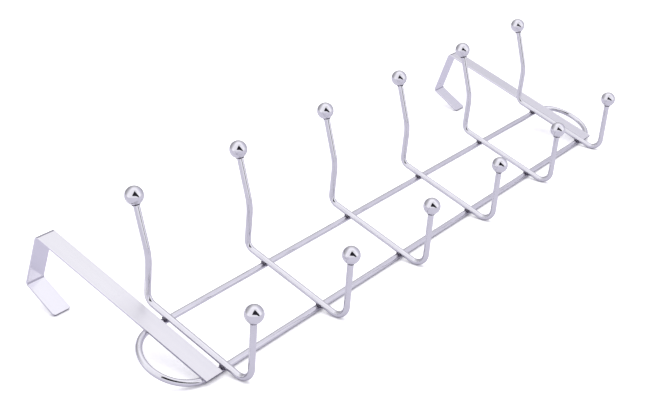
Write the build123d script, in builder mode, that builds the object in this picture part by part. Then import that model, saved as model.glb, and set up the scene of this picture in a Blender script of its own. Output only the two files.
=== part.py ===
from build123d import *

import os
from math import cos, radians, sin, sqrt, tan

# Over-door hook rack of chrome-plated steel: two wire rails in one loop, double hooks with ball tips
# welded across the rails, and two flat straps that reach over the top of a door.
# Frame: X along the rails, Y from the room into the door, Z up, in millimetres.
# Origin: on the door's top front edge, midway between the straps.

# Door under the straps
door_thickness = 35.0
door_clearance = 1.5

# Rails: one wire, bent into a closed loop with half-round ends
rail_wire_diameter = 4.5
rail_spacing = 51.0
# From the door's top edge down to the lower rail's centre line
rail_drop = 154.0
# From a strap's centre line out to where the loop's half-round end begins
end_loop_overhang = 1.15

# Hooks: wires that cross both rails, pressed into them a little by their welds
hook_count = 6
hook_pitch = 100.0
hook_wire_diameter = 4.5
hook_set_down = 0.4

# Upper prong: a level arm, then a knee, then a steeper tip.
# Reaches are measured forward from the hook's upright, angles up from level.
upper_corner_rise = 17.9
upper_bend_radius = 7.0
upper_arm_angle = 14.5
upper_knee_reach = 31.0
upper_knee_radius = 40.0
upper_tip_angle = 34.0
upper_ball_reach = 64.9

# Lower prong: a round bend and a straight tip
lower_corner_drop = 22.6
lower_bend_radius = 9.0
lower_prong_angle = 16.0
lower_ball_reach = 49.7

# Balls, each with a flat seat as wide as the wire that is butt-welded to it
ball_diameter = 12.5

# Straps: flat strip, welded to the front of both rails
strap_width = 15.0
strap_thickness = 1.5
strap_set_down = 0.3
strap_hook_gap = 2.6
strap_foot_drop = 3.5
strap_bend_radius = 1.5
strap_edge_radius = 0.3
lip_length = 30.0
lip_flare_angle = 12.0
lip_corner_radius = 2.0

# Places worked out from the sizes above
rail_radius = rail_wire_diameter / 2
hook_radius = hook_wire_diameter / 2
ball_radius = ball_diameter / 2
ball_seat_depth = sqrt(ball_radius**2 - hook_radius**2)

rail_y = -rail_radius
rail_front_y = -rail_wire_diameter
lower_rail_z = -rail_drop
upper_rail_z = lower_rail_z + rail_spacing

hook_y = rail_front_y + hook_set_down - hook_radius
hook_span = hook_pitch * (hook_count - 1)

strap_x = hook_span / 2 + hook_radius + strap_hook_gap + strap_width / 2
strap_back_y = rail_front_y + strap_set_down
strap_foot_z = lower_rail_z - strap_foot_drop
loop_end_x = strap_x + end_loop_overhang


def rise(reach, angle):
    """Height gained over a forward reach, at an angle above level."""
    return reach * tan(radians(angle))


def forward(reach):
    """Y of a point that stands forward of the hooks' uprights by a reach."""
    return hook_y - reach


upper_corner = (hook_y, upper_rail_z + upper_corner_rise)
upper_knee = (forward(upper_knee_reach), upper_corner[1] + rise(upper_knee_reach, upper_arm_angle))
upper_ball = (
    forward(upper_ball_reach),
    upper_knee[1] + rise(upper_ball_reach - upper_knee_reach, upper_tip_angle),
)
lower_corner = (hook_y, lower_rail_z - lower_corner_drop)
lower_ball = (forward(lower_ball_reach), lower_corner[1] + rise(lower_ball_reach, lower_prong_angle))


def weld_seat(ball, angle):
    """Y and Z of the wire's end, where it meets the flat seat of a ball."""
    y, z = ball
    return (y + ball_seat_depth * cos(radians(angle)), z - ball_seat_depth * sin(radians(angle)))


upper_seat = weld_seat(upper_ball, upper_tip_angle)
lower_seat = weld_seat(lower_ball, lower_prong_angle)


def make_rail_loop():
    """The closed wire loop, with flats where the straps are welded to it."""
    strap_leg_height = -strap_foot_z
    strap_leg_middle = (strap_back_y - strap_thickness / 2, strap_foot_z / 2)
    with BuildPart() as loop:
        with BuildLine(Plane.XZ.offset(-rail_y)) as path:
            lower = Line((-loop_end_x, lower_rail_z), (loop_end_x, lower_rail_z))
            right_end = JernArc(lower @ 1, lower % 1, rail_spacing / 2, 180)
            upper = Line(right_end @ 1, (-loop_end_x, upper_rail_z))
            JernArc(upper @ 1, upper % 1, rail_spacing / 2, 180)
        with BuildSketch(Plane(origin=path.line @ 0, z_dir=path.line % 0)):
            Circle(rail_radius)
        sweep()
        with Locations((-strap_x, *strap_leg_middle), (strap_x, *strap_leg_middle)):
            Box(strap_width, strap_thickness, strap_leg_height, mode=Mode.SUBTRACT)
    return loop.part


def make_hook_wire(x):
    """One bent hook wire, notched where it is set down on the rails."""
    with BuildPart() as wire:
        with BuildLine(Plane.YZ.offset(x)) as path:
            FilletPolyline(
                lower_seat,
                lower_corner,
                upper_corner,
                upper_knee,
                upper_seat,
                radius=(lower_bend_radius, upper_bend_radius, upper_knee_radius),
            )
        with BuildSketch(Plane(origin=path.line @ 0, z_dir=path.line % 0)):
            Circle(hook_radius)
        sweep()
        with Locations((0, rail_y, lower_rail_z), (0, rail_y, upper_rail_z)):
            Cylinder(rail_radius, 2 * loop_end_x, rotation=(0, 90, 0), mode=Mode.SUBTRACT)
    return wire.part


def make_ball(x, centre, angle):
    """One ball, cut flat where the end of its wire is welded on."""
    seat_y, seat_z = weld_seat(centre, angle)
    outward = (0, -cos(radians(angle)), sin(radians(angle)))
    with BuildPart() as ball:
        with Locations((x, *centre)):
            Sphere(ball_radius)
        split(bisect_by=Plane(origin=(x, seat_y, seat_z), z_dir=outward), keep=Keep.TOP)
    return ball.part


def make_strap(x):
    """One flat strap: a leg down to the lower rail, a bridge over the door and a flared lip."""
    flare = radians(lip_flare_angle)
    lip_y = door_thickness + door_clearance
    lip_end = (lip_y + lip_length * sin(flare), -lip_length * cos(flare))
    with BuildPart() as strap:
        with BuildSketch(Plane.YZ.offset(x)):
            with BuildLine():
                FilletPolyline(
                    (strap_back_y, strap_foot_z),
                    (strap_back_y, 0),
                    (lip_y, 0),
                    lip_end,
                    radius=strap_bend_radius,
                )
                offset(amount=strap_thickness, side=Side.LEFT)
            make_face()
        extrude(amount=strap_width / 2, both=True)
        across_lip = Axis((0, 0, 0), (0, cos(flare), sin(flare)))
        fillet(strap.edges().filter_by(across_lip).sort_by(Axis.Z)[-2:], lip_corner_radius)
        # The rounding of the leg's long edges runs on over the bends and round the lip
        fillet(strap.edges().filter_by(Axis.Z), strap_edge_radius)
    return strap.part


pieces = {"rail_loop": make_rail_loop()}
for number in range(1, hook_count + 1):
    hook_x = hook_pitch * (number - 1) - hook_span / 2
    pieces[f"hook_wire_{number}"] = make_hook_wire(hook_x)
    pieces[f"upper_ball_{number}"] = make_ball(hook_x, upper_ball, upper_tip_angle)
    pieces[f"lower_ball_{number}"] = make_ball(hook_x, lower_ball, lower_prong_angle)
pieces["left_strap"] = make_strap(-strap_x)
pieces["right_strap"] = make_strap(strap_x)

os.makedirs("parts", exist_ok=True)
for name, piece in pieces.items():
    piece.label = name
    export_step(piece, f"parts/{name}.step")
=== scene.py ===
"""Chrome over-door hook rack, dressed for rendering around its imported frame.

The frame's axes are X along the rails, Y from the room into the door and Z up, in metres.
The rack lies on its back on a pale table, propped at the top by the lips of its two straps.
"""

import logging
from dataclasses import dataclass, field
from enum import Enum
from functools import cached_property
from math import cos, pi, radians, sin, sqrt, tan
from typing import Any

import bmesh
import bpy
from mathutils import Matrix, Vector, noise


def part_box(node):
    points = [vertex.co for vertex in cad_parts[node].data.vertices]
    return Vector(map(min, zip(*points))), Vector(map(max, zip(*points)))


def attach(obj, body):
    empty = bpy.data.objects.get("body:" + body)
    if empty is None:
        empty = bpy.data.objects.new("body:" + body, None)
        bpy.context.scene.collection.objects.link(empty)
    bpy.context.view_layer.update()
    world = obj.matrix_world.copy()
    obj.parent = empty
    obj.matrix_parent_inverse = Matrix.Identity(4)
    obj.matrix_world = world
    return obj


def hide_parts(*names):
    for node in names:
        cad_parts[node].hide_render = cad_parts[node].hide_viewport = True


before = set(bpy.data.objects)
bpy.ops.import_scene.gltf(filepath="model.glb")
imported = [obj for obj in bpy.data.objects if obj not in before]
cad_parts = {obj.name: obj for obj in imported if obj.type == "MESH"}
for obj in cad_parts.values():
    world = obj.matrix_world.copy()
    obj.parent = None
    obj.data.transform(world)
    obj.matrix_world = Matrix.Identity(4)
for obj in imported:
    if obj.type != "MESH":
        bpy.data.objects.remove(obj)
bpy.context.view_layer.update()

log = logging.getLogger("hook_rack")

MM = 0.001
BODY = "root"
HOOK_COUNT = 6

Colour = tuple[float, float, float, float]
Material = bpy.types.Material
Mesh = bmesh.types.BMesh
Object = bpy.types.Object
Socket = bpy.types.NodeSocket
Tree = bpy.types.NodeTree


class Slot(Enum):
    """The record's material slots, which no piece here is given."""

    WIRE = "chrome_wire"
    STRAP = "chrome_strap"


class Tier(Enum):
    """The two tiers of prongs and balls on a hook."""

    UPPER = "upper"
    LOWER = "lower"


class Axis(Enum):
    """The axes that the wires run along."""

    X = "X"
    Z = "Z"


class Side(Enum):
    """The two ends of the rack."""

    LEFT = "left"
    RIGHT = "right"


class Face(Enum):
    """The faces of a wire, by the way along Y that they look."""

    FRONT = -1.0
    BACK = 1.0


# Colour and node helpers

def linear(code: str) -> Colour:
    """Turns an sRGB hex colour into linear light.

    Args:
        code: A colour such as "#E7E5EE".

    Returns:
        Red, green, blue and an alpha of 1.
    """
    channels = [int(code[start:start + 2], 16) / 255 for start in (1, 3, 5)]
    red, green, blue = [c / 12.92 if c <= 0.04045 else ((c + 0.055) / 1.055) ** 2.4 for c in channels]
    return (red, green, blue, 1.0)


def per_metre(size_mm: float) -> float:
    """Texture scale at which one feature of a pattern is that many millimetres wide."""
    return 1.0 / (size_mm * MM)


def add_node(tree: Tree, kind: str, inputs: dict[Any, Any], **settings: Any) -> bpy.types.Node:
    """Adds a node, with its settings, its values and its links.

    Args:
        tree: The material's or world's node tree.
        kind: The node's type name, less the word ShaderNode at its start.
        inputs: A value, or another node's output socket, for each input by name or number.
        settings: The node's own properties.

    Returns:
        The new node.
    """
    node = tree.nodes.new(f"ShaderNode{kind}")
    for name, value in settings.items():
        setattr(node, name, value)
    for key, value in inputs.items():
        if isinstance(value, Socket):
            tree.links.new(value, node.inputs[key])
        else:
            node.inputs[key].default_value = value
    return node


# The sockets of a Mix node for colours: its factor, its two colours and its result
MIX_FACTOR, MIX_FIRST, MIX_SECOND, MIX_RESULT = 0, 6, 7, 2


# Finishes

@dataclass(frozen=True)
class ChromePlate:
    """Decorative chrome plate on steel, electroplated bright over nickel.

    The eye gets a nearly neutral mirror with a cool cast, slightly clouded where the plate is thinner, and
    with a faint ripple that makes reflected lines waver.
    """

    name: str
    bright: str = "#F3F2F5"
    clouded: str = "#E5E4E8"
    cloud_mm: float = 7.0
    cloud_detail: float = 3.0
    smooth_roughness: float = 0.05
    hazy_roughness: float = 0.11
    haze_mm: float = 1.5
    haze_detail: float = 4.0
    # The noise at which the plate is still smooth, and at which it is fully hazy
    haze_range: tuple[float, float] = (0.3, 0.7)
    ripple_mm: float = 2.2
    ripple_detail: float = 1.0
    ripple_depth_mm: float = 0.006

    def coordinates(self, tree: Tree) -> Socket:
        """Where the patterns are measured: metres in the rack's own frame."""
        return add_node(tree, "TexCoord", {}).outputs["Object"]

    def tint(self, tree: Tree, where: Socket) -> Socket:
        """The plate's colour, clouded in soft patches.

        Args:
            tree: The material's node tree.
            where: The coordinates that the patches are drawn in.

        Returns:
            The colour's socket.
        """
        clouds = add_node(tree, "TexNoise", {
            "Vector": where,
            "Scale": per_metre(self.cloud_mm),
            "Detail": self.cloud_detail,
        })
        return add_node(tree, "Mix", {
            MIX_FACTOR: clouds.outputs["Fac"],
            MIX_FIRST: linear(self.bright),
            MIX_SECOND: linear(self.clouded),
        }, data_type="RGBA").outputs[MIX_RESULT]

    def roughness(self, tree: Tree, where: Socket) -> Socket:
        """How much the plate blurs, a little more in its hazy patches.

        Args:
            tree: The material's node tree.
            where: The coordinates that the patches are drawn in.

        Returns:
            The roughness's socket.
        """
        haze = add_node(tree, "TexNoise", {
            "Vector": where,
            "Scale": per_metre(self.haze_mm),
            "Detail": self.haze_detail,
        })
        return add_node(tree, "MapRange", {
            "Value": haze.outputs["Fac"],
            "From Min": self.haze_range[0],
            "From Max": self.haze_range[1],
            "To Min": self.smooth_roughness,
            "To Max": self.hazy_roughness,
        }).outputs["Result"]

    def material(self) -> Material:
        """Builds the finish.

        Returns:
            The new material.
        """
        material = bpy.data.materials.new(self.name)
        material.use_nodes = True
        tree = material.node_tree
        shader = tree.nodes["Principled BSDF"]
        where = self.coordinates(tree)
        ripple = add_node(tree, "TexNoise", {
            "Vector": where,
            "Scale": per_metre(self.ripple_mm),
            "Detail": self.ripple_detail,
        })
        bump = add_node(tree, "Bump", {
            "Height": ripple.outputs["Fac"],
            "Distance": self.ripple_depth_mm * MM,
        })
        shader.inputs["Metallic"].default_value = 1.0
        tree.links.new(self.tint(tree, where), shader.inputs["Base Color"])
        tree.links.new(self.roughness(tree, where), shader.inputs["Roughness"])
        tree.links.new(bump.outputs["Normal"], shader.inputs["Normal"])
        return material


@dataclass(frozen=True)
class WeldedWireChrome(ChromePlate):
    """Chrome plate on drawn wire that has been welded at a few spots.

    Near the welds, the side that faces the crossing wire is darkened with painted shade, which fades out
    along the wire.
    """

    axis: Axis = Axis.X
    # Where the welds lie along the axis, in metres
    spots: tuple[float, ...] = ()
    welded_face: Face = Face.BACK
    # Painted shade: the colour that the wire takes beside a crossing, on the side that faces the crossing
    # wire
    burn_and_shade: str = "#85818D"
    # The painted shade is full up to the first distance from a weld and gone at the second
    shade_mm: tuple[float, float] = (2.0, 9.0)
    # The cosine of the angle to the welded face at which the painted shade starts, and at which it is full
    shade_facing: tuple[float, float] = (0.1, 0.6)
    # Parts that stand further forward than this were never near a weld
    forward_mm: float = -11.0

    def tint(self, tree: Tree, where: Socket) -> Socket:
        """The plate's colour, with painted shade near the welds.

        Args:
            tree: The material's node tree.
            where: The coordinates that the patches are drawn in.

        Returns:
            The colour's socket.
        """
        rack = add_node(tree, "TexCoord", {})
        facing = add_node(tree, "SeparateXYZ", {0: rack.outputs["Normal"]}).outputs["Y"]
        place = add_node(tree, "SeparateXYZ", {0: rack.outputs["Object"]})
        nearest = None
        for spot in self.spots:
            offset = add_node(tree, "Math", {
                0: place.outputs[self.axis.value],
                1: spot,
            }, operation="SUBTRACT")
            away = add_node(tree, "Math", {0: offset.outputs[0]}, operation="ABSOLUTE").outputs[0]
            if nearest is None:
                nearest = away
                continue
            nearest = add_node(tree, "Math", {0: nearest, 1: away}, operation="MINIMUM").outputs[0]
        weld_closeness = add_node(tree, "MapRange", {
            "Value": nearest,
            "From Min": self.shade_mm[0] * MM,
            "From Max": self.shade_mm[1] * MM,
            "To Min": 1.0,
            "To Max": 0.0,
        }, interpolation_type="SMOOTHSTEP").outputs["Result"]
        towards_weld = add_node(tree, "Math", {
            0: facing,
            1: self.welded_face.value,
        }, operation="MULTIPLY").outputs[0]
        turned = add_node(tree, "MapRange", {
            "Value": towards_weld,
            "From Min": self.shade_facing[0],
            "From Max": self.shade_facing[1],
        }).outputs["Result"]
        near = add_node(tree, "Math", {
            0: place.outputs["Y"],
            1: self.forward_mm * MM,
        }, operation="GREATER_THAN").outputs[0]
        share = weld_closeness
        for part in (turned, near):
            share = add_node(tree, "Math", {0: share, 1: part}, operation="MULTIPLY").outputs[0]
        return add_node(tree, "Mix", {
            MIX_FACTOR: share,
            MIX_FIRST: super().tint(tree, where),
            MIX_SECOND: linear(self.burn_and_shade),
        }, data_type="RGBA").outputs[MIX_RESULT]


@dataclass(frozen=True)
class RolledStripChrome(ChromePlate):
    """Chrome plate on cold-rolled steel strip.

    The rolls leave fine lines along the strip, which blur the mirror a little and stretch its clouds
    lengthways. The lines are drawn about ten times as wide as real ones, or they would not show. The
    sides, the inside of the fold and the bends are darkened with painted shade, the sides more so lower
    down. The cut ends are dull grey as sheared steel, and darkened further with painted shade. The welds'
    heat hazes the faces.
    """

    line_mm: float = 0.6
    line_length_mm: float = 45.0
    # Painted shade: the sides, the inside of the fold, the lower sides, the cut ends and the bends are mixed
    # towards these colours
    shaded_side: str = "#F2F0F6"
    shaded_fold_inside: str = "#EEECF4"
    shaded_lower_side: str = "#BAB7C3"
    # The sides take the darker painted shade below the first height and the lighter one above the second
    lower_side_shade_mm: tuple[float, float] = (-112.0, -92.0)
    # The faces are hazed below the first height and clear above the second
    heat_haze_mm: tuple[float, float] = (-84.0, -62.0)
    heat_haze: float = 0.24
    cut_end_and_shade: str = "#9A97A2"
    shaded_bend: str = "#B6B3BF"
    # Faces that look down are the strip's ends below this height, and the inside of its fold above it
    end_height_mm: float = -15.0
    # Slanting faces are the strip's bends above this height
    bend_height_mm: float = -2.5
    # The cosine at which a face that is turned a way starts to take its painted shade, and at which it is
    # fully shaded
    flat_facing: tuple[float, float] = (0.5, 0.9)
    outer_bend_facing: tuple[float, float] = (0.03, 0.2)
    inner_bend_facing: tuple[float, float] = (0.3, 0.5)

    def coordinates(self, tree: Tree) -> Socket:
        """The rack's frame, squeezed along the strip, which runs across X in all its stretches."""
        where = super().coordinates(tree)
        along = self.line_mm / self.line_length_mm
        stretched = add_node(tree, "Mapping", {"Vector": where, "Scale": (1.0, along, along)})
        return stretched.outputs["Vector"]

    def heat(self, tree: Tree, heights_mm: tuple[float, float]) -> Socket:
        """How far down the strip a place lies, as a share that ramps between two heights.

        Args:
            tree: The material's node tree.
            heights_mm: The height below which the share is 1, and the one above which it is 0.

        Returns:
            The socket of a share from 0 to 1.
        """
        rack = add_node(tree, "TexCoord", {})
        height = add_node(tree, "SeparateXYZ", {0: rack.outputs["Object"]}).outputs["Z"]
        return add_node(tree, "MapRange", {
            "Value": height,
            "From Min": heights_mm[0] * MM,
            "From Max": heights_mm[1] * MM,
            "To Min": 1.0,
            "To Max": 0.0,
        }).outputs["Result"]

    def roughness(self, tree: Tree, where: Socket) -> Socket:
        """How much the plate blurs, more where the welds have heated it.

        Args:
            tree: The material's node tree.
            where: The coordinates that the patches are drawn in.

        Returns:
            The roughness's socket.
        """
        return add_node(tree, "Math", {
            0: self.heat(tree, self.heat_haze_mm),
            1: self.heat_haze,
            2: super().roughness(tree, where),
        }, operation="MULTIPLY_ADD").outputs[0]

    def tint(self, tree: Tree, where: Socket) -> Socket:
        """The plate's colour, with painted shade on the sides, the ends, the bends and inside the fold.

        Args:
            tree: The material's node tree.
            where: The coordinates that the patches are drawn in.

        Returns:
            The colour's socket.
        """
        rack = add_node(tree, "TexCoord", {})
        facing = add_node(tree, "SeparateXYZ", {0: rack.outputs["Normal"]})
        height = add_node(tree, "SeparateXYZ", {0: rack.outputs["Object"]}).outputs["Z"]
        sideways, forward = [
            add_node(tree, "Math", {0: facing.outputs[axis]}, operation="ABSOLUTE").outputs[0]
            for axis in ("X", "Y")
        ]
        upward = facing.outputs["Z"]
        downward = add_node(tree, "Math", {0: upward, 1: -1.0}, operation="MULTIPLY").outputs[0]
        outer_slant, inner_slant = [
            add_node(tree, "Math", {0: forward, 1: way}, operation="MINIMUM").outputs[0]
            for way in (upward, downward)
        ]
        end, fold, outer_bend, inner_bend = [
            add_node(tree, "Math", {
                0: turned,
                1: add_node(tree, "Math", {0: height, 1: limit_mm * MM}, operation=side).outputs[0],
            }, operation="MULTIPLY").outputs[0]
            for turned, side, limit_mm in (
                (downward, "LESS_THAN", self.end_height_mm),
                (downward, "GREATER_THAN", self.end_height_mm),
                (outer_slant, "GREATER_THAN", self.bend_height_mm),
                (inner_slant, "GREATER_THAN", self.bend_height_mm),
            )
        ]
        side_shade = add_node(tree, "Mix", {
            MIX_FACTOR: self.heat(tree, self.lower_side_shade_mm),
            MIX_FIRST: linear(self.shaded_side),
            MIX_SECOND: linear(self.shaded_lower_side),
        }, data_type="RGBA").outputs[MIX_RESULT]
        colour = super().tint(tree, where)
        # Each kind of face is mixed towards its painted shade
        for amount, (start, full), painted_shade in (
            (fold, self.flat_facing, linear(self.shaded_fold_inside)),
            (outer_bend, self.outer_bend_facing, linear(self.shaded_bend)),
            (inner_bend, self.inner_bend_facing, linear(self.shaded_bend)),
            (sideways, self.flat_facing, side_shade),
            (end, self.flat_facing, linear(self.cut_end_and_shade)),
        ):
            share = add_node(tree, "MapRange", {"Value": amount, "From Min": start, "From Max": full})
            colour = add_node(tree, "Mix", {
                MIX_FACTOR: share.outputs["Result"],
                MIX_FIRST: colour,
                MIX_SECOND: painted_shade,
            }, data_type="RGBA").outputs[MIX_RESULT]
        return colour


@dataclass(frozen=True)
class HeatTintedAndShadedWeld:
    """Mild steel weld metal, burnt dark by the heat and thinly plated over, and darkened further with
    painted shade of the crevices where the wires meet.

    The eye gets small dark beads with a dull gloss and paler flecks.
    """

    name: str = "heat_tinted_and_shaded_steel_weld"
    # Heat tint, darkened further with painted shade of the crevices that the beads sit in
    burn_and_shade: str = "#76727C"
    fleck: str = "#B2AEBB"
    fleck_mm: float = 0.9
    fleck_detail: float = 4.0
    # The noise at which a fleck starts, and at which it is fully pale
    fleck_range: tuple[float, float] = (0.5, 0.72)
    roughness: float = 0.42
    grain_mm: float = 0.35
    grain_detail: float = 3.0
    grain_depth_mm: float = 0.08

    def material(self) -> Material:
        """Builds the finish.

        Returns:
            The new material.
        """
        material = bpy.data.materials.new(self.name)
        material.use_nodes = True
        tree = material.node_tree
        shader = tree.nodes["Principled BSDF"]
        where = add_node(tree, "TexCoord", {}).outputs["Object"]
        flecks = add_node(tree, "TexNoise", {
            "Vector": where,
            "Scale": per_metre(self.fleck_mm),
            "Detail": self.fleck_detail,
        })
        share = add_node(tree, "MapRange", {
            "Value": flecks.outputs["Fac"],
            "From Min": self.fleck_range[0],
            "From Max": self.fleck_range[1],
        })
        tint = add_node(tree, "Mix", {
            MIX_FACTOR: share.outputs["Result"],
            MIX_FIRST: linear(self.burn_and_shade),
            MIX_SECOND: linear(self.fleck),
        }, data_type="RGBA")
        grain = add_node(tree, "TexNoise", {
            "Vector": where,
            "Scale": per_metre(self.grain_mm),
            "Detail": self.grain_detail,
        })
        bump = add_node(tree, "Bump", {
            "Height": grain.outputs["Fac"],
            "Distance": self.grain_depth_mm * MM,
        })
        shader.inputs["Metallic"].default_value = 1.0
        shader.inputs["Roughness"].default_value = self.roughness
        tree.links.new(tint.outputs[MIX_RESULT], shader.inputs["Base Color"])
        tree.links.new(bump.outputs["Normal"], shader.inputs["Normal"])
        return material


# Mesh helpers

def rounded_route(corners: list[Vector], radii: list[float], turn_step: float, closed: bool) -> list[Vector]:
    """Points along straight runs that are joined by tangent arcs.

    Args:
        corners: The corners of the runs, with both ends where the route is open.
        radii: The arc's radius at each corner that is rounded, in order.
        turn_step: The most that the route turns from one point to the next, in radians.
        closed: Whether the last corner joins the first.

    Returns:
        The points, in order.
    """
    count = len(corners)
    rounded = range(count) if closed else range(1, count - 1)
    points = [] if closed else [corners[0]]
    for index, radius in zip(rounded, radii):
        corner = corners[index]
        before = (corner - corners[index - 1]).normalized()
        after = (corners[(index + 1) % count] - corner).normalized()
        turn = before.angle(after)
        start = corner - before * radius * tan(turn / 2)
        inward = (after - before * before.dot(after)).normalized()
        steps = max(2, round(turn / turn_step))
        for step in range(steps + 1):
            angle = turn * step / steps
            points.append(start + before * radius * sin(angle) + inward * radius * (1 - cos(angle)))
    return points if closed else points + [corners[-1]]


def without_repeats(points: list[Vector], nearest: float) -> list[Vector]:
    """The points of a closed route, less those that fall on the one before."""
    return [point for index, point in enumerate(points) if (point - points[index - 1]).length > nearest]


def add_tube(
    mesh: Mesh,
    route: list[Vector],
    outward: list[Vector],
    radii: list[float],
    sides: int,
    closed: bool,
) -> None:
    """Adds a tube along a route, as thick at each point as it is told.

    Args:
        mesh: The mesh that the tube joins.
        route: The tube's centre line.
        outward: A direction across the route at each point, from which the sides are counted.
        radii: The tube's radius at each point.
        sides: The number of faces around the tube.
        closed: Whether the last point joins the first. An open tube has flat ends.
    """
    count = len(route)
    rings = []
    for index, (point, away, radius) in enumerate(zip(route, outward, radii)):
        ahead = route[(index + 1) % count] if closed else route[min(index + 1, count - 1)]
        behind = route[index - 1] if closed else route[max(index - 1, 0)]
        along = (ahead - behind).normalized()
        first = (away - along * away.dot(along)).normalized()
        second = along.cross(first)
        angles = [2 * pi * side / sides for side in range(sides)]
        rings.append([mesh.verts.new(point + (first * cos(a) + second * sin(a)) * radius) for a in angles])
    pairs = zip(rings, rings[1:] + rings[:1]) if closed else zip(rings, rings[1:])
    for ring, following in pairs:
        for side in range(sides):
            after = (side + 1) % sides
            mesh.faces.new((ring[side], ring[after], following[after], following[side])).smooth = True
    if not closed:
        for end in (list(reversed(rings[0])), rings[-1]):
            for edge in mesh.faces.new(end).edges:
                edge.smooth = False


def lumpy(radius: float, point: Vector, lump_size: float, share: float) -> float:
    """A bead's radius at a point, swollen or pinched by a steady noise.

    Args:
        radius: The bead's mean radius.
        point: The place that the noise is read at.
        lump_size: The distance from one lump to the next.
        share: The most that the radius changes, as a share of itself.

    Returns:
        The radius there.
    """
    return radius * (1 + share * noise.noise(point / lump_size))


def add_object(name: str, mesh: Mesh, material: Material) -> Object:
    """Turns a mesh into an object of the scene.

    Args:
        name: The object's name.
        mesh: Its mesh, in the rack's frame. It is freed.
        material: Its finish.

    Returns:
        The new object.
    """
    data = bpy.data.meshes.new(name)
    mesh.to_mesh(data)
    mesh.free()
    data.materials.append(material)
    made = bpy.data.objects.new(name, data)
    bpy.context.scene.collection.objects.link(made)
    return made


def finish_piece(name: str, mesh: Mesh, material: Material) -> Object:
    """Turns a mesh into a piece of the rack.

    Args:
        name: The piece's name.
        mesh: Its mesh, in the rack's frame. It is freed.
        material: Its finish.

    Returns:
        The new object, riding on the rack.
    """
    bmesh.ops.recalc_face_normals(mesh, faces=mesh.faces)
    piece = add_object(name, mesh, material)
    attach(piece, BODY)
    log.info("%s: %d faces", name, len(piece.data.polygons))
    return piece


def dress_node(node: str, material: Material) -> None:
    """Gives a node of the frame its finish.

    Args:
        node: The node's name.
        material: The finish that takes the place of its own.
    """
    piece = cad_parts[node]
    piece.data.materials.clear()
    piece.data.materials.append(material)
    log.info("%s: keeps its own shape", node)


# The rack

@dataclass
class RailLoop:
    """Two rails, bent from one wire into a closed loop with half-round ends."""

    turn_step: float = radians(2.5)
    # Points of the route that lie closer together than this are one point
    least_step: float = 0.02 * MM
    sides: int = 40
    node: str = "rail_loop"

    @cached_property
    def box(self) -> tuple[Vector, Vector]:
        """The loop's lowest and highest corners."""
        low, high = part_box(self.node)
        return Vector(low), Vector(high)

    @cached_property
    def wire_radius(self) -> float:
        """Half the wire's thickness, which is the whole loop's from front to back."""
        low, high = self.box
        return (high.y - low.y) / 2

    @cached_property
    def front_y(self) -> float:
        """The front of the rails, which the hooks are welded to."""
        return self.box[0].y

    @cached_property
    def middle_y(self) -> float:
        """The rails' centre line, from front to back."""
        return self.front_y + self.wire_radius

    @cached_property
    def lower_z(self) -> float:
        """The height of the lower rail's centre line."""
        return self.box[0].z + self.wire_radius

    @cached_property
    def upper_z(self) -> float:
        """The height of the upper rail's centre line."""
        return self.box[1].z - self.wire_radius

    def build(self, finish: Material) -> Object:
        """Sweeps the wire round the loop.

        Args:
            finish: The wire's material.

        Returns:
            The piece that stands for the frame's loop.
        """
        left = self.box[0].x + self.wire_radius
        right = self.box[1].x - self.wire_radius
        corners = [
            Vector((left, self.middle_y, self.lower_z)),
            Vector((right, self.middle_y, self.lower_z)),
            Vector((right, self.middle_y, self.upper_z)),
            Vector((left, self.middle_y, self.upper_z)),
        ]
        end_radius = (self.upper_z - self.lower_z) / 2
        arcs = rounded_route(corners, [end_radius] * len(corners), self.turn_step, closed=True)
        route = without_repeats(arcs, self.least_step)
        mesh = bmesh.new()
        outward = [Vector((0, -1, 0))] * len(route)
        radii = [self.wire_radius] * len(route)
        add_tube(mesh, route, outward, radii, self.sides, closed=True)
        piece = finish_piece("rail_wire", mesh, finish)
        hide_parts(self.node)
        return piece


@dataclass
class BallTip:
    """A polished ball, butt-welded to the end of a prong."""

    number: int
    tier: Tier
    wire_angle: float
    wire_radius: float

    @cached_property
    def node(self) -> str:
        """The ball's node in the frame."""
        return f"{self.tier.value}_ball_{self.number}"

    @cached_property
    def radius(self) -> float:
        """Half the ball's width, which is whole from side to side."""
        low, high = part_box(self.node)
        return (high[0] - low[0]) / 2

    @cached_property
    def centre(self) -> Vector:
        """The middle of the ball, which is whole at its front and its top."""
        low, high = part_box(self.node)
        return Vector((low[0] + self.radius, low[1] + self.radius, high[2] - self.radius))

    @cached_property
    def towards_wire(self) -> Vector:
        """The direction from the ball down its prong."""
        return Vector((0, cos(self.wire_angle), -sin(self.wire_angle)))

    @cached_property
    def seat(self) -> Vector:
        """The middle of the flat seat that the wire's end is welded to."""
        depth = sqrt(self.radius**2 - self.wire_radius**2)
        return self.centre + self.towards_wire * depth

    def dress(self, finish: Material) -> None:
        """Gives the ball its finish."""
        dress_node(self.node, finish)


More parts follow.
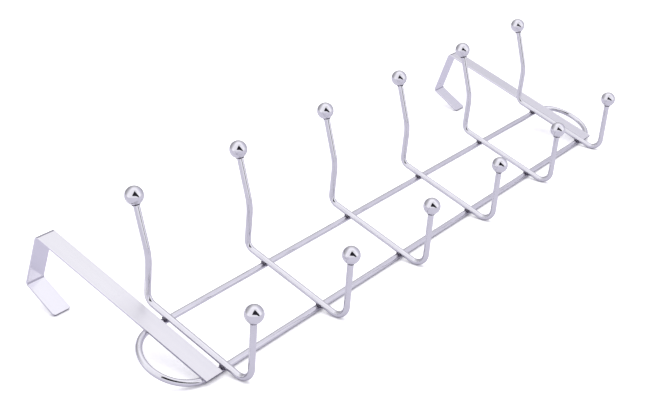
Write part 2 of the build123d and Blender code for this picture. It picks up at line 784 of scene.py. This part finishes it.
@dataclass
class HookWire:
    """One hook: a bent wire across both rails, its two balls and its welds."""

    number: int
    rails: RailLoop
    set_down: float = 0.4 * MM
    upper_rise: float = 17.9 * MM
    upper_bend: float = 7.0 * MM
    arm_angle: float = radians(14.5)
    knee_reach: float = 31.0 * MM
    knee_radius: float = 40.0 * MM
    tip_angle: float = radians(34.0)
    lower_drop: float = 22.6 * MM
    lower_bend: float = 9.0 * MM
    prong_angle: float = radians(16.0)
    turn_step: float = radians(2.5)
    sides: int = 40
    # A ring of squeezed-out weld metal where the wires cross
    squeeze_gap: float = 1.1 * MM
    squeeze_proud: float = 0.05 * MM
    squeeze_points: int = 48
    squeeze_sides: int = 14
    # How often the search for the ring's reach halves its range
    squeeze_halvings: int = 30
    # Tack beads in the corner on the wire's left, thinning out along the front of each rail
    tack_radius: float = 0.75 * MM
    tack_reach: float = 2.4 * MM
    tack_rise: float = radians(12.0)
    tack_sunk: float = 0.35 * MM
    # The share of the bead's thickest section that is left at its tip
    tack_tip: float = 0.03
    tack_points: int = 16
    tack_sides: int = 18
    # Flash left round the necks of the balls
    neck_radius: float = 0.55 * MM
    neck_lump_share: float = 0.8
    neck_points: int = 40
    neck_sides: int = 12
    # Lumps of all this weld metal, and their share of its thickness on the rails
    lump_size: float = 1.1 * MM
    lump_share: float = 0.35

    @cached_property
    def node(self) -> str:
        """The wire's node in the frame."""
        return f"hook_wire_{self.number}"

    @cached_property
    def radius(self) -> float:
        """Half the wire's thickness, which is the whole hook's from side to side."""
        low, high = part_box(self.node)
        return (high[0] - low[0]) / 2

    @cached_property
    def x(self) -> float:
        """The hook's place along the rails."""
        low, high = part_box(self.node)
        return (low[0] + high[0]) / 2

    @cached_property
    def middle_y(self) -> float:
        """The upright's centre line, from front to back."""
        return self.rails.front_y + self.set_down - self.radius

    @cached_property
    def balls(self) -> tuple[BallTip, BallTip]:
        """The upper and the lower ball."""
        upper = BallTip(self.number, Tier.UPPER, self.tip_angle, self.radius)
        lower = BallTip(self.number, Tier.LOWER, self.prong_angle, self.radius)
        return upper, lower

    def build_wire(self, finish: Material) -> Object:
        """Sweeps the wire from the lower ball's seat to the upper one's.

        Args:
            finish: The wire's material.

        Returns:
            The piece that stands for the frame's wire.
        """
        upper, lower = self.balls
        upper_corner = Vector((self.x, self.middle_y, self.rails.upper_z + self.upper_rise))
        knee = upper_corner + Vector((0, -1, tan(self.arm_angle))) * self.knee_reach
        lower_corner = Vector((self.x, self.middle_y, self.rails.lower_z - self.lower_drop))
        corners = [lower.seat, lower_corner, upper_corner, knee, upper.seat]
        bends = [self.lower_bend, self.upper_bend, self.knee_radius]
        route = rounded_route(corners, bends, self.turn_step, closed=False)
        mesh = bmesh.new()
        outward = [Vector((1, 0, 0))] * len(route)
        radii = [self.radius] * len(route)
        add_tube(mesh, route, outward, radii, self.sides, closed=False)
        piece = finish_piece(f"hook_{self.number}_wire", mesh, finish)
        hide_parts(self.node)
        return piece

    def fall(self, aside: float) -> float:
        """How far a wire's round face falls back at a distance aside from its crest."""
        return self.radius - sqrt(self.radius**2 - aside**2)

    def squeeze_reach(self, angle: float) -> float:
        """How far from a crossing's middle the two wires stand apart by the weld's thickness.

        Args:
            angle: The direction across the crossing, in radians from X towards Z.

        Returns:
            The distance in that direction.
        """
        near = 0.0
        far = min(self.radius, self.rails.wire_radius) / max(abs(cos(angle)), abs(sin(angle)))
        for _ in range(self.squeeze_halvings):
            reach = (near + far) / 2
            apart = self.fall(reach * cos(angle)) + self.fall(reach * sin(angle)) - self.set_down
            if apart > self.squeeze_gap:
                far = reach
            else:
                near = reach
        return near

    def add_squeeze(self, mesh: Mesh, rail_z: float) -> None:
        """Adds the ring of weld metal that is squeezed out between the wire and a rail.

        Args:
            mesh: The mesh that the ring joins.
            rail_z: The height of the rail's centre line.
        """
        thickness = self.squeeze_gap / 2 + self.squeeze_proud
        route, outward, radii = [], [], []
        for point in range(self.squeeze_points):
            angle = 2 * pi * point / self.squeeze_points
            reach = self.squeeze_reach(angle)
            across, upward = reach * cos(angle), reach * sin(angle)
            middle = self.rails.front_y + (self.set_down + self.fall(upward) - self.fall(across)) / 2
            place = Vector((self.x + across, middle, rail_z + upward))
            route.append(place)
            outward.append(Vector((cos(angle), 0, sin(angle))))
            radii.append(lumpy(thickness, place, self.lump_size, self.lump_share))
        add_tube(mesh, route, outward, radii, self.squeeze_sides, closed=True)

    def add_tack(self, mesh: Mesh, rail_z: float) -> None:
        """Adds the tack bead that fills the corner on the wire's left, along the front of a rail.

        Args:
            mesh: The mesh that the bead joins.
            rail_z: The height of the rail's centre line.
        """
        away = Vector((0, -cos(self.tack_rise), sin(self.tack_rise)))
        lift = self.rails.wire_radius - self.tack_sunk
        inside = self.radius / 2
        corner = Vector((self.x - inside, self.rails.middle_y, rail_z))
        route, radii = [], []
        for point in range(self.tack_points):
            share = point / (self.tack_points - 1)
            thickness = self.tack_radius * sqrt(max(1 - share**2, self.tack_tip))
            place = corner + away * lift - Vector((share * (inside + self.tack_reach), 0, 0))
            route.append(place)
            radii.append(lumpy(thickness, place, self.lump_size, self.lump_share))
        add_tube(mesh, route, [away] * self.tack_points, radii, self.tack_sides, closed=False)

    def build_rail_welds(self, finish: Material) -> Object:
        """Makes the welds that hold the wire to both rails.

        Args:
            finish: The weld metal's material.

        Returns:
            The piece.
        """
        mesh = bmesh.new()
        for rail_z in (self.rails.upper_z, self.rails.lower_z):
            self.add_squeeze(mesh, rail_z)
            self.add_tack(mesh, rail_z)
        return finish_piece(f"hook_{self.number}_rail_welds", mesh, finish)

    def build_neck_welds(self, finish: Material) -> Object:
        """Makes the flash left round the wire where each ball was butt-welded on.

        Args:
            finish: The weld metal's material.

        Returns:
            The piece.
        """
        mesh = bmesh.new()
        across = Vector((1, 0, 0))
        angles = [2 * pi * point / self.neck_points for point in range(self.neck_points)]
        for ball in self.balls:
            upward = ball.towards_wire.cross(across)
            outward = [across * cos(angle) + upward * sin(angle) for angle in angles]
            route = [ball.seat + away * self.radius for away in outward]
            radii = [lumpy(self.neck_radius, place, self.lump_size, self.neck_lump_share) for place in route]
            add_tube(mesh, route, outward, radii, self.neck_sides, closed=True)
        return finish_piece(f"hook_{self.number}_neck_welds", mesh, finish)


@dataclass
class DoorStrap:
    """A flat strap over the door, welded to the front of both rails."""

    side: Side
    rails: RailLoop
    set_down: float = 0.3 * MM
    seam_radius: float = 0.42 * MM
    # The seams stop this far from the strap's sides
    seam_margin: float = 0.84 * MM
    # How bluntly a seam ends, and the share of its thickest section that is left at its ends
    seam_bluntness: int = 6
    seam_end: float = 0.04
    seam_points: int = 40
    seam_sides: int = 12
    lump_size: float = 1.4 * MM
    lump_share: float = 0.3

    @cached_property
    def node(self) -> str:
        """The strap's node in the frame."""
        return f"{self.side.value}_strap"

    def dress(self, finish: Material) -> None:
        """Gives the strap its finish."""
        dress_node(self.node, finish)

    def add_seam(self, mesh: Mesh, middle: Vector, length: float) -> None:
        """Adds one seam, thinning out at both ends.

        Args:
            mesh: The mesh that the seam joins.
            middle: The middle of the seam.
            length: The seam's length along the rail.
        """
        route, radii = [], []
        for point in range(self.seam_points):
            aside = 2 * point / (self.seam_points - 1) - 1
            place = middle + Vector((aside * length / 2, 0, 0))
            section = max(1 - abs(aside) ** self.seam_bluntness, self.seam_end)
            route.append(place)
            radii.append(lumpy(self.seam_radius * sqrt(section), place, self.lump_size, self.lump_share))
        outward = [Vector((0, 1, 0))] * self.seam_points
        add_tube(mesh, route, outward, radii, self.seam_sides, closed=False)

    def build_seams(self, finish: Material) -> Object:
        """Makes the weld seams above and below each rail, behind the strap.

        Args:
            finish: The weld metal's material.

        Returns:
            The piece.
        """
        low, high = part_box(self.node)
        middle_x = (low[0] + high[0]) / 2
        length = high[0] - low[0] - 2 * self.seam_margin
        radius = self.rails.wire_radius
        half_seat = sqrt(radius**2 - (radius - self.set_down) ** 2)
        proud = self.seam_radius / 2
        seam_y = self.rails.front_y + self.set_down + proud
        mesh = bmesh.new()
        for rail_z in (self.rails.upper_z, self.rails.lower_z):
            for offset in (half_seat + proud, -half_seat - proud):
                self.add_seam(mesh, Vector((middle_x, seam_y, rail_z + offset)), length)
        return finish_piece(f"{self.node}_seams", mesh, finish)


# The studio

@dataclass(frozen=True)
class MattCard:
    """White card with a matt, faintly mottled face.

    The eye gets an even white sheet that keeps soft shadows. Chrome shows it pale lilac.
    """

    name: str = "matt_white_card"
    face: str = "#E0DEEA"
    mottle: str = "#DCDAE6"
    mottle_mm: float = 60.0
    # What the camera alone sees of the card, bleached to white but for the rack's shadow
    bleached: str = "#FAF9FC"
    white_lift: float = 0.45
    # Within this distance of a wire that lies on the card, the lift fades out and the dark line stays
    contact_mm: float = 3.0

    def material(self) -> Material:
        """Builds the card, which is clear from behind and lifted to white for the camera alone.

        Returns:
            The new material.
        """
        material = bpy.data.materials.new(self.name)
        material.use_nodes = True
        tree = material.node_tree
        tree.nodes.clear()
        where = add_node(tree, "TexCoord", {}).outputs["Object"]
        clouds = add_node(tree, "TexNoise", {"Vector": where, "Scale": per_metre(self.mottle_mm)})
        tint = add_node(tree, "Mix", {
            MIX_FACTOR: clouds.outputs["Fac"],
            MIX_FIRST: linear(self.face),
            MIX_SECOND: linear(self.mottle),
        }, data_type="RGBA")
        face = add_node(tree, "BsdfDiffuse", {"Color": tint.outputs[MIX_RESULT]})
        white = add_node(tree, "BsdfDiffuse", {"Color": linear(self.bleached)})
        open_air = add_node(tree, "AmbientOcclusion", {"Distance": self.contact_mm * MM})
        glow = add_node(tree, "Emission", {
            "Color": open_air.outputs["Color"],
            "Strength": self.white_lift,
        })
        lifted = add_node(tree, "AddShader", {0: white.outputs["BSDF"], 1: glow.outputs["Emission"]})
        path = add_node(tree, "LightPath", {})
        seen = add_node(tree, "MixShader", {
            0: path.outputs["Is Camera Ray"],
            1: face.outputs["BSDF"],
            2: lifted.outputs["Shader"],
        })
        clear = add_node(tree, "BsdfTransparent", {})
        behind = add_node(tree, "NewGeometry", {}).outputs["Backfacing"]
        sided = add_node(tree, "MixShader", {
            0: behind,
            1: seen.outputs["Shader"],
            2: clear.outputs["BSDF"],
        })
        add_node(tree, "OutputMaterial", {"Surface": sided.outputs["Shader"]})
        return material


@dataclass(frozen=True)
class WovenCotton:
    """Black cotton cloth, woven and dyed, with a dull face.

    The eye meets it in the chrome alone, as dark strokes that are a little paler where it has faded.
    """

    name: str = "woven_black_cotton"
    dyed: str = "#1E1B23"
    faded: str = "#24212A"
    patch_mm: float = 40.0
    roughness: float = 0.9

    def material(self) -> Material:
        """Builds the cloth.

        Returns:
            The new material.
        """
        material = bpy.data.materials.new(self.name)
        material.use_nodes = True
        tree = material.node_tree
        shader = tree.nodes["Principled BSDF"]
        where = add_node(tree, "TexCoord", {}).outputs["Object"]
        patches = add_node(tree, "TexNoise", {"Vector": where, "Scale": per_metre(self.patch_mm)})
        tint = add_node(tree, "Mix", {
            MIX_FACTOR: patches.outputs["Fac"],
            MIX_FIRST: linear(self.dyed),
            MIX_SECOND: linear(self.faded),
        }, data_type="RGBA")
        shader.inputs["Roughness"].default_value = self.roughness
        tree.links.new(tint.outputs[MIX_RESULT], shader.inputs["Base Color"])
        return material


@dataclass(frozen=True)
class TentPatch:
    """A patch where the tent is shaded."""

    # How far its middle lies to the camera's right, towards the camera and up, as seen from the rack
    middle: tuple[float, float, float]
    # The cosine of the angle from the middle to the edge
    edge: float
    # How much of the patch's own colour its middle takes on
    depth: float
    colour: str = "#2A2830"


@dataclass
class Studio:
    """A card table, a soft lamp overhead, a tent of white cloth, a dark cloth and the camera."""

    # The table leans from the door's plane until the lower rail, the lower bends and the lips lie on it
    table_lean: float = radians(19.4)
    table_size: float = 1.7
    card: MattCard = field(default_factory=MattCard)
    # The tent's brightness by the cosine of the angle from its brightest point
    tent: tuple[tuple[float, float], ...] = (
        (-1.0, 0.25),
        (-0.8, 0.32),
        (-0.65, 0.46),
        (-0.5, 0.63),
        (-0.33, 0.76),
        (-0.25, 0.77),
        (0.0, 0.96),
        (0.25, 1.09),
        (0.4, 1.05),
        (0.6, 0.97),
        (1.0, 0.93),
    )
    # The cloth's cast, by which the brightness of red, green and blue is multiplied
    tent_cast: tuple[float, float, float] = (1.01, 1.0, 1.07)
    tent_strength: float = 1.2
    # How far the brightest point lies towards the camera for each 1 that it lies up
    tent_lean: float = 1.62
    patches: tuple[TentPatch, ...] = (
        TentPatch((-0.82, -0.49, 0.29), 0.59, 0.5),
        TentPatch((0.75, -0.50, 0.43), 0.78, 0.30, "#8F88B4"),
        TentPatch((0.26, 0.22, 0.95), 0.94, 0.2),
    )
    # The table's apron hangs below the camera, from full at the second cosine to nothing at the first
    apron_colour: str = "#DEDDE6"
    apron_drop: float = radians(25.0)
    apron_edge: tuple[float, float] = (0.55, 0.85)
    # The even light that the tent gives
    fill_colour: str = "#E6E5EA"
    fill_strength: float = 0.85
    # What the camera sees behind everything
    backdrop: str = "#FFFFFF"
    lamp_height: float = 1.5
    lamp_size: float = 1.6
    lamp_watts: float = 9.5
    # Camera fitted to the photograph, on an image of 645 by 406 pixels
    image_width_px: float = 645.0
    focal_px: float = 1197.4
    sensor_mm: float = 36.0
    camera_mm: tuple[float, float, float] = (-729.9, -525.4, -421.0)
    aim_mm: tuple[float, float, float] = (-31.9, 14.5, -69.6)
    camera_roll: float = radians(1.269)
    nearest_seen_mm: float = 10.0
    # Dark cloth behind the camera: right and up from it, in metres
    cloth_outline: tuple[tuple[float, float], ...] = (
        (0.10, 0.91),
        (-0.32, -0.10),
        (0.36, -0.14),
        (1.73, -0.83),
        (2.20, -0.75),
        (1.74, -0.37),
        (0.94, 0.07),
        (0.55, 0.36),
    )
    cloth_behind: float = 0.02
    cloth: WovenCotton = field(default_factory=WovenCotton)

    @cached_property
    def up(self) -> Vector:
        """The direction straight up from the table."""
        return Vector((0, -cos(self.table_lean), sin(self.table_lean)))

    @cached_property
    def front(self) -> Vector:
        """The direction along the table towards the camera."""
        forward = self.camera_axes()[2]
        return (self.up * forward.dot(self.up) - forward).normalized()

    def table_point(self) -> Vector:
        """A point of the table, which the rack's lowest points rest on."""
        corners = (vertex.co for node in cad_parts.values() for vertex in node.data.vertices)
        return self.up * min(corner.dot(self.up) for corner in corners)

    def build_table(self) -> Object:
        """Lays the white card under the rack.

        Returns:
            The table's top.
        """
        right = Vector((1, 0, 0))
        back = self.up.cross(right)
        half = self.table_size / 2
        centre = self.table_point()
        mesh = bmesh.new()
        ways = ((-1, -1), (1, -1), (1, 1), (-1, 1))
        mesh.faces.new([mesh.verts.new(centre + (right * x + back * y) * half) for x, y in ways])
        table = add_object("table_top", mesh, self.card.material())
        return table

    def graded_tent(self, tree: Tree, where: Socket) -> Socket:
        """The tent's colour, graded from its brightest point, with the table's apron below the camera.

        Args:
            tree: The world's node tree.
            where: The direction that is looked in.

        Returns:
            The colour's socket.
        """
        brightest = (self.up + self.front * self.tent_lean).normalized()
        nearness = add_node(tree, "VectorMath", {0: where, 1: brightest}, operation="DOT_PRODUCT")
        share = add_node(tree, "MapRange", {
            "Value": nearness.outputs["Value"],
            "From Min": -1.0,
            "From Max": 1.0,
        })
        grade = add_node(tree, "ValToRGB", {"Fac": share.outputs["Result"]})
        stops = grade.color_ramp.elements
        while len(stops) < len(self.tent):
            stops.new(1.0)
        for stop, (cosine, brightness) in zip(stops, self.tent):
            stop.position = (cosine + 1) / 2
            stop.color = (*[cast * brightness / self.tent_strength for cast in self.tent_cast], 1.0)
        low_front = self.front * cos(self.apron_drop) - self.up * sin(self.apron_drop)
        lowness = add_node(tree, "VectorMath", {0: where, 1: low_front}, operation="DOT_PRODUCT")
        apron = add_node(tree, "MapRange", {
            "Value": lowness.outputs["Value"],
            "From Min": self.apron_edge[0],
            "From Max": self.apron_edge[1],
        }, interpolation_type="SMOOTHSTEP")
        return add_node(tree, "Mix", {
            MIX_FACTOR: apron.outputs["Result"],
            MIX_FIRST: grade.outputs["Color"],
            MIX_SECOND: linear(self.apron_colour),
        }, data_type="RGBA").outputs[MIX_RESULT]

    def shaded_tent(self, tree: Tree, where: Socket, colour: Socket) -> Socket:
        """The tent's colour with its shaded patches.

        Args:
            tree: The world's node tree.
            where: The direction that is looked in.
            colour: The tent's colour without them.

        Returns:
            The colour's socket.
        """
        right = self.camera_axes()[0]
        for patch in self.patches:
            aside, ahead, above = patch.middle
            way = (right * aside + self.front * ahead + self.up * above).normalized()
            closeness = add_node(tree, "VectorMath", {0: where, 1: way}, operation="DOT_PRODUCT")
            shade = add_node(tree, "MapRange", {
                "Value": closeness.outputs["Value"],
                "From Min": patch.edge,
                "From Max": 1.0,
                "To Max": patch.depth,
            }, interpolation_type="SMOOTHSTEP")
            colour = add_node(tree, "Mix", {
                MIX_FACTOR: shade.outputs["Result"],
                MIX_FIRST: colour,
                MIX_SECOND: linear(patch.colour),
            }, data_type="RGBA").outputs[MIX_RESULT]
        return colour

    def build_world(self) -> None:
        """Hangs the tent: white to the camera, graded in reflections, even for everything else."""
        world = bpy.data.worlds.new("white_tent")
        bpy.context.scene.world = world
        world.use_nodes = True
        tree = world.node_tree
        tree.nodes.clear()
        where = add_node(tree, "TexCoord", {}).outputs["Generated"]
        cloth = add_node(tree, "Background", {
            "Color": self.shaded_tent(tree, where, self.graded_tent(tree, where)),
            "Strength": self.tent_strength,
        })
        fill = add_node(tree, "Background", {
            "Color": linear(self.fill_colour),
            "Strength": self.fill_strength,
        })
        white = add_node(tree, "Background", {"Color": linear(self.backdrop)})
        path = add_node(tree, "LightPath", {})
        mirrored = add_node(tree, "MixShader", {
            0: path.outputs["Is Glossy Ray"],
            1: fill.outputs["Background"],
            2: cloth.outputs["Background"],
        })
        seen = add_node(tree, "MixShader", {
            0: path.outputs["Is Camera Ray"],
            1: mirrored.outputs["Shader"],
            2: white.outputs["Background"],
        })
        add_node(tree, "OutputWorld", {"Surface": seen.outputs["Shader"]})

    def build_lamp(self) -> None:
        """Hangs the soft lamp over the table."""
        light = bpy.data.lights.new("overhead_softbox", "AREA")
        light.shape = "SQUARE"
        light.size = self.lamp_size
        light.energy = self.lamp_watts
        lamp = bpy.data.objects.new("overhead_softbox", light)
        lamp.location = self.table_point() + self.up * self.lamp_height
        lamp.rotation_euler = self.up.to_track_quat("Z", "Y").to_euler()
        lamp.visible_glossy = False
        bpy.context.scene.collection.objects.link(lamp)

    def camera_axes(self) -> tuple[Vector, Vector, Vector]:
        """The camera's right, up and forward directions."""
        forward = (Vector(self.aim_mm) - Vector(self.camera_mm)).normalized()
        right = forward.cross(self.up).normalized()
        turned = Matrix.Rotation(-self.camera_roll, 3, forward) @ right
        return turned, turned.cross(forward), forward

    def build_camera(self) -> None:
        """Sets up the camera at the photograph's viewing angle."""
        right, up, forward = self.camera_axes()
        lens = bpy.data.cameras.new("camera")
        lens.sensor_width = self.sensor_mm
        lens.lens = self.focal_px * self.sensor_mm / self.image_width_px
        lens.clip_start = self.nearest_seen_mm * MM
        camera = bpy.data.objects.new("camera", lens)
        turn = Matrix((right, up, -forward)).transposed().to_4x4()
        camera.matrix_world = Matrix.Translation(Vector(self.camera_mm) * MM) @ turn
        bpy.context.scene.collection.objects.link(camera)
        bpy.context.scene.camera = camera

    def build_cloth(self) -> Object:
        """Hangs the dark cloth behind the camera, which only reflections show.

        Returns:
            The cloth.
        """
        right, up, forward = self.camera_axes()
        middle = Vector(self.camera_mm) * MM - forward * self.cloth_behind
        mesh = bmesh.new()
        mesh.faces.new([mesh.verts.new(middle + right * x + up * y) for x, y in self.cloth_outline])
        cloth = add_object("dark_cloth", mesh, self.cloth.material())
        for ray in ("camera", "diffuse", "transmission", "shadow"):
            setattr(cloth, f"visible_{ray}", False)
        return cloth

    def build(self) -> None:
        """Sets the table, the tent, the lamp, the camera and the dark cloth."""
        self.build_table()
        self.build_world()
        self.build_lamp()
        self.build_camera()
        self.build_cloth()
        bpy.context.scene.view_settings.view_transform = "Standard"


def main() -> None:
    """Dresses the rack, piece by piece, and sets up the studio."""
    logging.basicConfig(level=logging.INFO, format="%(name)s: %(message)s")
    rails = RailLoop()
    hooks = [HookWire(number, rails) for number in range(1, HOOK_COUNT + 1)]
    rail_finish = WeldedWireChrome(
        "bright_chrome_on_welded_rail_wire",
        axis=Axis.X,
        spots=tuple(hook.x for hook in hooks),
        welded_face=Face.FRONT,
        # The rails' painted shade is lighter and narrower, on their front beside each hook
        burn_and_shade="#A5A1AD",
        shade_mm=(2.0, 6.0),
    ).material()
    hook_finish = WeldedWireChrome(
        "bright_chrome_on_welded_hook_wire",
        axis=Axis.Z,
        spots=(rails.upper_z, rails.lower_z),
    ).material()
    ball_finish = ChromePlate(
        "bright_chrome_on_polished_ball",
        smooth_roughness=0.03,
        hazy_roughness=0.07,
        ripple_depth_mm=0.002,
    ).material()
    strap_finish = RolledStripChrome(
        "bright_chrome_on_rolled_strip",
        bright="#FFFEFF",
        clouded="#F7F6F9",
        smooth_roughness=0.15,
        hazy_roughness=0.19,
        haze_mm=0.6,
    ).material()
    weld_finish = HeatTintedAndShadedWeld().material()
    # The flash round the balls' necks is darker still, with painted shade of the crease where ball and wire
    # meet
    flash_finish = HeatTintedAndShadedWeld("heat_tinted_and_shaded_steel_weld_flash", burn_and_shade="#4A4650").material()
    rails.build(rail_finish)
    for hook in hooks:
        hook.build_wire(hook_finish)
        hook.build_rail_welds(weld_finish)
        hook.build_neck_welds(flash_finish)
        for ball in hook.balls:
            ball.dress(ball_finish)
    for side in Side:
        strap = DoorStrap(side, rails)
        strap.dress(strap_finish)
        strap.build_seams(weld_finish)
    Studio().build()


if __name__ == "__main__":
    main()
